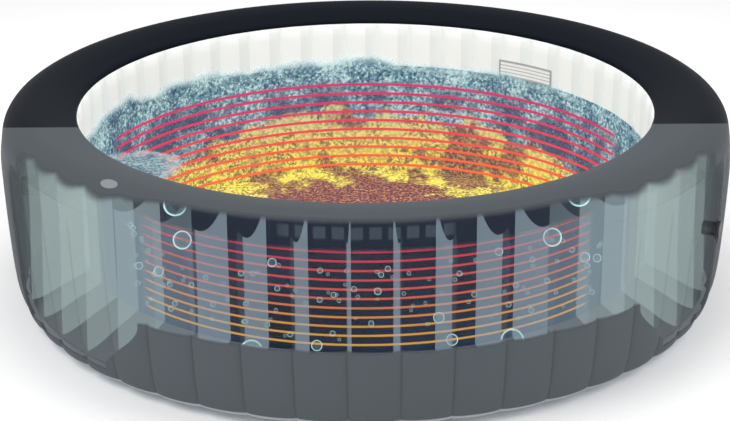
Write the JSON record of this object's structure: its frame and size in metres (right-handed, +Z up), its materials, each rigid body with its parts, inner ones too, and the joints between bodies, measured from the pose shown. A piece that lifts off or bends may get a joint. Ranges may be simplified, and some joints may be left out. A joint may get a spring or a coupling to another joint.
{
  "type": "inflatable hot tub",
  "caption": "Round inflatable hot tub: baffled air wall shown see-through at the front, opaque at the rear, with heating bands, air duct, ports, filter and valves.",
  "frame": {"origin": "on the ground under the middle of the tub", "axes": "+Z up, -Y towards the front, where the wall is see-through, +X to the right with the inflation valve"},
  "size_m": [2.0803, 2.0388, 0.568],
  "materials": {
    "black_pvc": "satin opaque vinyl",
    "smoke_pvc": "clear smoke-grey vinyl",
    "clear_pvc": "clear vinyl",
    "white_liner": "satin vinyl liner",
    "base_pvc": "textured vinyl",
    "baffle_sheet": "translucent vinyl web",
    "heater_film": "clear film",
    "heater_track": "glowing printed track",
    "black_moulding": "satin moulding",
    "grey_fitting": "satin moulding",
    "seal_rubber": "matt rubber",
    "spring_steel": "bright wire",
    "filter_media": "pleated non-woven",
    "label_film": "printed film without text"
  },
  "bodies": {
    "tub": {"air_channel": "white_liner", "air_port_tube": "grey_fitting", "baffle_01": "baffle_sheet", "baffle_02": "baffle_sheet", "baffle_03": "baffle_sheet", "baffle_04": "baffle_sheet", "baffle_05": "baffle_sheet", "baffle_06": "baffle_sheet", "baffle_07": "baffle_sheet", "baffle_08": "baffle_sheet", "baffle_09": "baffle_sheet", "baffle_10": "baffle_sheet", "baffle_11": "baffle_sheet", "baffle_12": "baffle_sheet", "baffle_13": "baffle_sheet", "baffle_14": "baffle_sheet", "baffle_15": "baffle_sheet", "baffle_16": "baffle_sheet", "baffle_17": "baffle_sheet", "baffle_18": "baffle_sheet", "baffle_19": "baffle_sheet", "baffle_20": "baffle_sheet", "baffles_rear_left": "baffle_sheet", "baffles_rear_right": "baffle_sheet", "base_sheet": "base_pvc", "blank_label": "label_film", "chamber_base": "base_pvc", "drain_tube": "grey_fitting", "filter_mount": "grey_fitting", "floor_liner": "white_liner", "heat_film_front": "heater_film", "heat_film_rear": "heater_film", "heat_wire_front": "heater_track", "heat_wire_rear": "heater_track", "heater_gland": "black_moulding", "inlet_tube": "grey_fitting", "inner_wall_front": "clear_pvc", "inner_wall_rear": "white_liner", "outer_wall_front": "smoke_pvc", "outer_wall_rear": "black_pvc", "outlet_tube": "grey_fitting", "rim_badge": "label_film", "top_ring_front": "smoke_pvc", "top_ring_rear": "black_pvc", "valve_body": "black_moulding", "valve_spring": "spring_steel"},
    "valve_cap": {"valve_cap": "black_moulding"},
    "valve_stem": {"valve_stem": "black_moulding"},
    "air_port_plug": {"air_port_plug": "black_moulding"},
    "outlet_seal": {"outlet_seal": "seal_rubber"},
    "outlet_cap": {"outlet_cap": "black_moulding"},
    "inlet_seal": {"inlet_seal": "seal_rubber"},
    "inlet_cap": {"inlet_cap": "black_moulding"},
    "drain_seal": {"drain_seal": "seal_rubber"},
    "drain_cap": {"drain_cap": "black_moulding"},
    "drain_plug": {"drain_plug": "black_moulding"},
    "filter_cartridge": {"filter_cartridge": "filter_media"}
  },
  "joints": [
    {"name": "valve_cap_hinge", "type": "hinge", "parent": "tub", "child": "valve_cap", "pos_m": [0.93902, -0.40441, 0.267], "axis": [0.3955, 0.9184, 0], "range_deg": [0, 130]},
    {"name": "valve_stem_slide", "type": "slide", "parent": "tub", "child": "valve_stem", "axis": [-0.9184, 0.3955, 0], "range_m": [0, 0.005], "stiffness_N_per_m": 300, "springref_m": -0.003, "deforming": ["valve_spring"]},
    {"name": "outlet_seal_lift", "type": "slide", "parent": "tub", "child": "outlet_seal", "axis": [-0.9936, 0.1132, 0], "range_m": [0, 0.006]},
    {"name": "outlet_cap_turn", "type": "hinge", "parent": "outlet_seal", "child": "outlet_cap", "pos_m": [-1.00753, 0.11479, 0.24], "axis": [-0.9936, 0.1132, 0], "range_deg": [0, 540]},
    {"name": "inlet_seal_lift", "type": "slide", "parent": "tub", "child": "inlet_seal", "axis": [-0.9703, 0.2419, 0], "range_m": [0, 0.006]},
    {"name": "inlet_cap_turn", "type": "hinge", "parent": "inlet_seal", "child": "inlet_cap", "pos_m": [-0.98393, 0.24532, 0.24], "axis": [-0.9703, 0.2419, 0], "range_deg": [0, 540]},
    {"name": "drain_seal_lift", "type": "slide", "parent": "tub", "child": "drain_seal", "axis": [0.989, 0.1478, 0], "range_m": [0, 0.006]},
    {"name": "drain_cap_turn", "type": "hinge", "parent": "drain_seal", "child": "drain_cap", "pos_m": [0.97494, 0.14571, 0.036], "axis": [0.989, 0.1478, 0], "range_deg": [0, 540]},
    {"name": "drain_plug_pull", "type": "slide", "parent": "tub", "child": "drain_plug", "axis": [-0.989, -0.1478, 0], "range_m": [0, 0.02]},
    {"name": "air_port_plug_pull", "type": "slide", "parent": "tub", "child": "air_port_plug", "axis": [0.989, 0.1478, 0], "range_m": [0, 0.018]},
    {"name": "filter_cartridge_twist", "type": "hinge", "parent": "tub", "child": "filter_cartridge", "pos_m": [-0.98393, 0.24532, 0.24], "axis": [-0.9703, 0.2419, 0], "range_deg": [0, 30]}
  ],
  "couplings": [
    {"joint": "outlet_cap_turn", "follows": "outlet_seal_lift", "rad_per_m": 1570.8},
    {"joint": "inlet_cap_turn", "follows": "inlet_seal_lift", "rad_per_m": 1570.8},
    {"joint": "drain_cap_turn", "follows": "drain_seal_lift", "rad_per_m": 1570.8}
  ]
}
